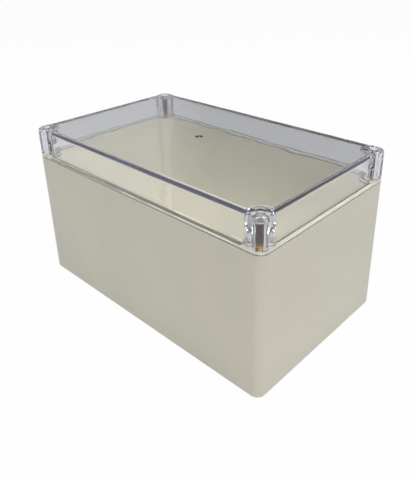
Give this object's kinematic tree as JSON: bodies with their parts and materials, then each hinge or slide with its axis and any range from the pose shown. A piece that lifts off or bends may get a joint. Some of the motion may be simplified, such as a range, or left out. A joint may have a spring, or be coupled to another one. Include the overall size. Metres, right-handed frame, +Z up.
{
  "type": "screw-lid enclosure",
  "caption": "Rectangular plastic enclosure with a deep opaque base and a clear lid, sealed by a flat gasket and held by four screws sunk in its corners.",
  "frame": {"origin": "centre of the underside of the base", "axes": "+X along the length, +Y across the width, +Z up through the lid"},
  "size_m": [0.2, 0.12, 0.1107],
  "materials": {
    "abs_body": "satin moulded ABS",
    "clear_lid": "clear polished polycarbonate",
    "seal": "grey silicone",
    "screw_metal": "yellow zinc plated",
    "nylon": "natural nylon"
  },
  "bodies": {
    "case": {"base": "abs_body", "gasket": "seal"},
    "lid": {"lid": "clear_lid"},
    "washer_fl": {"screw_washer_fl": "nylon"},
    "screw_fl": {"lid_screw_fl": "screw_metal"},
    "washer_fr": {"screw_washer_fr": "nylon"},
    "screw_fr": {"lid_screw_fr": "screw_metal"},
    "washer_bl": {"screw_washer_bl": "nylon"},
    "screw_bl": {"lid_screw_bl": "screw_metal"},
    "washer_br": {"screw_washer_br": "nylon"},
    "screw_br": {"lid_screw_br": "screw_metal"}
  },
  "joints": [
    {"name": "lid_lift", "type": "slide", "parent": "case", "child": "lid", "axis": [0, 0, 1], "range_m": [0, 0.06]},
    {"name": "screw_lift_fl", "type": "slide", "parent": "lid", "child": "washer_fl", "axis": [0, 0, 1], "range_m": [0, 0.0088]},
    {"name": "screw_turn_fl", "type": "hinge", "parent": "washer_fl", "child": "screw_fl", "pos_m": [-0.0935, -0.0535, 0.1], "axis": [0, 0, 1], "range_deg": [0, 2880]},
    {"name": "screw_lift_fr", "type": "slide", "parent": "lid", "child": "washer_fr", "axis": [0, 0, 1], "range_m": [0, 0.0088]},
    {"name": "screw_turn_fr", "type": "hinge", "parent": "washer_fr", "child": "screw_fr", "pos_m": [0.0935, -0.0535, 0.1], "axis": [0, 0, 1], "range_deg": [0, 2880]},
    {"name": "screw_lift_bl", "type": "slide", "parent": "lid", "child": "washer_bl", "axis": [0, 0, 1], "range_m": [0, 0.0088]},
    {"name": "screw_turn_bl", "type": "hinge", "parent": "washer_bl", "child": "screw_bl", "pos_m": [-0.0935, 0.0535, 0.1], "axis": [0, 0, 1], "range_deg": [0, 2880]},
    {"name": "screw_lift_br", "type": "slide", "parent": "lid", "child": "washer_br", "axis": [0, 0, 1], "range_m": [0, 0.0088]},
    {"name": "screw_turn_br", "type": "hinge", "parent": "washer_br", "child": "screw_br", "pos_m": [0.0935, 0.0535, 0.1], "axis": [0, 0, 1], "range_deg": [0, 2880]}
  ],
  "couplings": [
    {"joint": "screw_turn_fl", "follows": "screw_lift_fl", "rad_per_m": 5712},
    {"joint": "screw_turn_fr", "follows": "screw_lift_fr", "rad_per_m": 5712},
    {"joint": "screw_turn_bl", "follows": "screw_lift_bl", "rad_per_m": 5712},
    {"joint": "screw_turn_br", "follows": "screw_lift_br", "rad_per_m": 5712}
  ]
}
